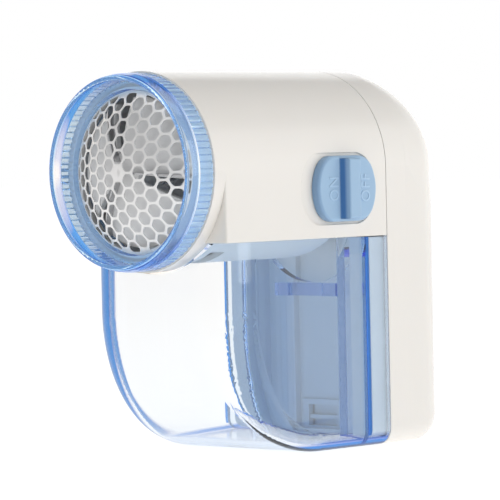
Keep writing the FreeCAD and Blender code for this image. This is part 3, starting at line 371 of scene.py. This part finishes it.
def all_materials():
    """One material for each of the record's slots, and for the pieces built below."""
    return {
        **blue_plastics(),
        "shell": plastic("shell", (0.85, 0.82, 0.775), 0.14, glow=0.08, variation=0.008),
        "inner_shell": plastic("inner_shell", (0.82, 0.82, 0.81), 0.4, glow=0.05),
        "foil_steel": metal("foil_steel", (0.95, 0.94, 0.93), 0.38, purity=0.55),
        "blade_steel": metal("blade_steel", (0.6, 0.6, 0.61), 0.3),
        "spring_steel": metal("spring_steel", (0.62, 0.62, 0.62), 0.3),
        "motor_steel": metal("motor_steel", (0.66, 0.66, 0.67), 0.35),
        "screw_steel": metal("screw_steel", (0.55, 0.55, 0.56), 0.35),
        "bronze": metal("bronze", (0.72, 0.55, 0.28), 0.35),
        "ferrite": plastic("ferrite", (0.1, 0.1, 0.11), 0.6),
        "copper": metal("copper", (0.72, 0.38, 0.22), 0.35),
        "grey_plastic": plastic("grey_plastic", (0.8, 0.8, 0.8), 0.6),
        "dark_plastic": plastic("dark_plastic", (0.05, 0.05, 0.055), 0.45),
        # The second colour is the painted shade of the grip bar's front side.
        "button_blue": button_plastic("button_blue", (0.34, 0.51, 0.7), (0.035, 0.16, 0.42)),
        # Painted highlight: the raised letters are the button's own blue, and this lighter copy stands in
        # for the light they catch.
        "letter_blue_painted_light": plastic("letter_blue_painted_light", (0.42, 0.6, 0.8), 0.4, glow=0.05),
        "battery_jacket": plastic("battery_jacket", (0.2, 0.22, 0.25), 0.25),
        "wire_red": plastic("wire_red", (0.6, 0.04, 0.03), 0.45),
        "wire_black": plastic("wire_black", (0.03, 0.03, 0.03), 0.45),
    }


def dress(materials):
    """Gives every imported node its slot's material."""
    for part in frame["record"]["subparts"]:
        mesh = frame["nodes"][part["node"]].data
        mesh.materials.clear()
        mesh.materials.append(materials[part["material_slot"]])


# ---------------------------------------------------------------- mesh pieces


def new_piece(name, body, material, mesh):
    piece = bpy.data.objects.new(name, mesh)
    bpy.context.scene.collection.objects.link(piece)
    piece.data.materials.clear()
    piece.data.materials.append(material)
    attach(piece, body)
    return piece


def rounded(points, steps=6):
    """A closed outline with rounded corners. A point is (across, up, rounding)."""
    outline = []
    count = len(points)
    for i, (x, y, radius) in enumerate(points):
        corner = Vector((x, y))
        before = Vector(points[i - 1][:2]) - corner
        after = Vector(points[(i + 1) % count][:2]) - corner
        if radius <= 0:
            outline.append(corner)
            continue
        half = before.angle(after) / 2
        away = min(radius / math.tan(half), 0.49 * before.length, 0.49 * after.length)
        start = corner + before.normalized() * away
        end = corner + after.normalized() * away
        for step in range(steps + 1):
            t = step / steps
            first = start.lerp(corner, t)
            second = corner.lerp(end, t)
            outline.append(first.lerp(second, t))
    return outline


def turned(name, outlines):
    """A ring about the head's axis, with a closed outline of (reach, radius) for each step of the turn."""
    shape = bmesh.new()
    rings = []
    for i, outline in enumerate(outlines):
        turn = 2 * math.pi * i / len(outlines)
        across, up = math.sin(turn), math.cos(turn)
        rings.append([shape.verts.new((r * across, -reach, HEAD.z + r * up)) for reach, r in outline])
    for ring, following in zip(rings, rings[1:] + rings[:1]):
        for j in range(len(ring)):
            k = (j + 1) % len(ring)
            shape.faces.new((ring[j], ring[k], following[k], following[j]))
    bmesh.ops.recalc_face_normals(shape, faces=shape.faces)
    mesh = bpy.data.meshes.new(name)
    shape.to_mesh(mesh)
    shape.free()
    return mesh


def grip_mesh(ribs=90, depth=0.4 * MM):
    """The band behind the guard's smooth tube, with a V-groove between each two ribs."""
    rear = -GUARD_HIGH.y
    front = rear + GRIP_LONG
    inner = GUARD_RADIUS - GUARD_WALL
    outlines = []
    for i in range(4 * ribs):
        groove = depth if i % 4 == 0 else 0.0
        outer = GUARD_RADIUS - 0.15 * MM - groove
        bevel = [(rear, outer - 0.15 * MM), (rear + 0.2 * MM, outer)]
        outlines.append([(rear, inner), *bevel, (front, outer), (front, inner)])
    return turned("guard_grip", outlines)


def guard_mesh(steps=160):
    """The clear guard: a slightly tapered tube with a thick, rounded lip."""
    rear = -GUARD_HIGH.y + GRIP_LONG + 0.05 * MM
    front = -GUARD_LOW.y
    radius = GUARD_RADIUS
    outline = rounded(
        [
            (rear, radius, 0.2 * MM),
            (front - 3.0 * MM, radius - 0.2 * MM, 3.0 * MM),
            (front, radius - 0.9 * MM, 1.0 * MM),
            (front, radius - 2.7 * MM, 0.9 * MM),
            (front - 4.0 * MM, radius - 2.0 * MM, 3.0 * MM),
            (rear, radius - GUARD_WALL, 0.2 * MM),
        ]
    )
    mesh = turned("guard_shell", [outline] * steps)
    mesh.shade_smooth()
    return mesh


def letters(text, name, reach, material):
    """Raised lettering on the button, read from below upwards."""
    curve = bpy.data.curves.new(name + "_curve", "FONT")
    curve.body = text
    curve.size = LETTER_HIGH / 0.7
    curve.extrude = 0.15 * MM
    curve.bevel_depth = 0.06 * MM
    curve.space_character = 1.1
    curve.align_x = "CENTER"
    curve.align_y = "CENTER"
    flat = bpy.data.objects.new(name + "_flat", curve)
    bpy.context.scene.collection.objects.link(flat)
    bpy.context.view_layer.update()
    mesh = bpy.data.meshes.new_from_object(flat)
    bpy.data.objects.remove(flat)
    mesh.transform(Matrix.Scale(0.8, 4, Vector((1, 0, 0))))
    across = Vector((0, 0, 1))
    upwards = Vector((0, -1, 0))
    outwards = Vector((1, 0, 0))
    turn = Matrix((across, upwards, outwards)).transposed().to_4x4()
    turn.translation = Vector((BUTTON_FACE, -reach, BUTTON.z))
    mesh.transform(turn)
    return new_piece(name, "button", material, mesh)


def build_pieces(materials):
    guard = new_piece("guard_shell", "guard", materials["guard_blue"], guard_mesh())
    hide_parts("spacing_guard")
    new_piece("guard_grip", "guard", materials["grip_blue"], grip_mesh())
    letters("ON", "letters_on", -BUTTON.y + ON_AHEAD, materials["letter_blue_painted_light"])
    letters("OFF", "letters_off", -BUTTON.y - OFF_BEHIND, materials["letter_blue_painted_light"])


# ---------------------------------------------------------------- stage

BACKDROP = (1.6, 1.3, 1.05, 1.0)
FLOOR_SEEN = (1.75, 1.75, 1.75, 1.0)
FLOOR_LIGHT = (1.45, 1.45, 1.45, 1.0)
AZIMUTH = math.radians(42.53)
ELEVATION = math.radians(1.74)
VIEWED_FROM = (
    math.sin(AZIMUTH) * math.cos(ELEVATION),
    -math.cos(AZIMUTH) * math.cos(ELEVATION),
    math.sin(ELEVATION),
)


def shone_through(shader):
    """One for light seen through clear plastic."""
    return shader.node("ShaderNodeLightPath").outputs["Is Transmission Ray"]


def camera_sees(shader):
    """One where the camera looks straight or through clear plastic, nought for light and reflections."""
    path = shader.node("ShaderNodeLightPath").outputs
    return shader.maths("MAXIMUM", path["Is Camera Ray"], path["Is Transmission Ray"])


def floor(size=6.0):
    """Pale paper that also glows, so that its edge melts into the backdrop."""
    mesh = bpy.data.meshes.new("floor")
    corners = [(-size, -size, 0), (size, -size, 0), (size, size, 0), (-size, size, 0)]
    mesh.from_pydata(corners, [], [(0, 1, 2, 3)])
    plane = bpy.data.objects.new("floor", mesh)
    bpy.context.scene.collection.objects.link(plane)
    s = Shader(bpy.data.materials.new("floor_paper"))
    tone = s.blend(s.noise(40 * MM, 3.0), (0.93, 0.93, 0.93, 1.0), (0.95, 0.95, 0.95, 1.0))
    paper = s.node("ShaderNodeBsdfDiffuse", {"Color": tone})
    plain = s.blend(s.node("ShaderNodeLightPath").outputs["Is Camera Ray"], FLOOR_LIGHT, FLOOR_SEEN)
    glow = s.blend(shone_through(s), plain, tuple(1.6 * c for c in BACKDROP))
    lit = s.node("ShaderNodeEmission", {"Color": glow})
    half = s.node("ShaderNodeMixShader", {0: 0.5, 1: paper.outputs[0], 2: lit.outputs[0]})
    mesh.materials.append(s.surface(half.outputs[0]))
    plane.location.z = cad_box[0][2] - 0.05 * MM


def sky():
    """A bright white backdrop behind the object, and a room that dims overhead and behind the camera."""
    world = bpy.data.worlds.new("studio")
    bpy.context.scene.world = world
    s = Shader(world, "ShaderNodeOutputWorld", "Generated")
    up = s.part_of(s.place, "Z")
    behind = s.spread(s.part_of(s.place, "Y"), 0.0, 1.0, -0.1, 0.1)
    low = s.spread(up, 1.0, 0.0, 0.46, 0.54)
    sheet = s.maths("MULTIPLY", behind, low)
    towards = s.node("ShaderNodeVectorMath", {0: s.place, 1: VIEWED_FROM}, operation="DOT_PRODUCT")
    dark = s.spread(towards.outputs["Value"], 1.0, 0.15, 0.3, 0.9)
    room = s.maths("MULTIPLY", s.spread(up, 0.75, 0.3, 0.1, 0.7), dark)
    around = s.maths("ADD", room, s.maths("MULTIPLY", sheet, 0.7))
    seen = camera_sees(s)
    strength = s.maths("ADD", seen, s.maths("MULTIPLY", s.maths("SUBTRACT", 1.0, seen), around))
    tone = s.blend(shone_through(s), (1.0, 1.0, 1.0, 1.0), BACKDROP)
    background = s.node("ShaderNodeBackground", {"Color": tone, "Strength": strength})
    s.surface(background.outputs[0])


def softbox(name, place, size, power):
    """A square light that faces the middle of the object."""
    data = bpy.data.lights.new(name, "AREA")
    data.size = size
    data.energy = power
    lamp = bpy.data.objects.new(name, data)
    bpy.context.scene.collection.objects.link(lamp)
    lamp.location = place
    middle = (Vector(cad_box[0]) + Vector(cad_box[1])) / 2
    lamp.rotation_euler = (Vector(place) - middle).to_track_quat("Z", "Y").to_euler()


def camera():
    """A long lens, slightly rolled."""
    roll = math.radians(1.25)
    distance = 1.148
    back = Vector(VIEWED_FROM)
    right = Vector((math.cos(AZIMUTH), math.sin(AZIMUTH), 0.0))
    up = back.cross(right)
    target = HEAD + right * 43.1 * MM - up * 26.2 * MM
    level = right * math.cos(roll) - up * math.sin(roll)
    upright = right * math.sin(roll) + up * math.cos(roll)
    data = bpy.data.cameras.new("camera")
    data.lens = 252.0
    data.clip_end = 100.0
    view = bpy.data.objects.new("camera", data)
    bpy.context.scene.collection.objects.link(view)
    turn = Matrix((level, upright, back)).transposed().to_4x4()
    turn.translation = target + back * distance
    view.matrix_world = turn
    bpy.context.scene.camera = view


def stage():
    floor()
    sky()
    softbox("key", (1.1, 0.05, 0.35), 0.7, 2.7)
    softbox("front", (0.1, -0.9, 0.9), 0.8, 1.7)
    softbox("top", (0.1, 0.2, 0.9), 0.6, 1.1)
    camera()
    scene = bpy.context.scene
    scene.view_settings.view_transform = "Standard"
    scene.cycles.max_bounces = 24
    scene.cycles.glossy_bounces = 16
    scene.cycles.transmission_bounces = 24
    scene.cycles.transparent_max_bounces = 24


materials = all_materials()
dress(materials)
build_pieces(materials)
stage()
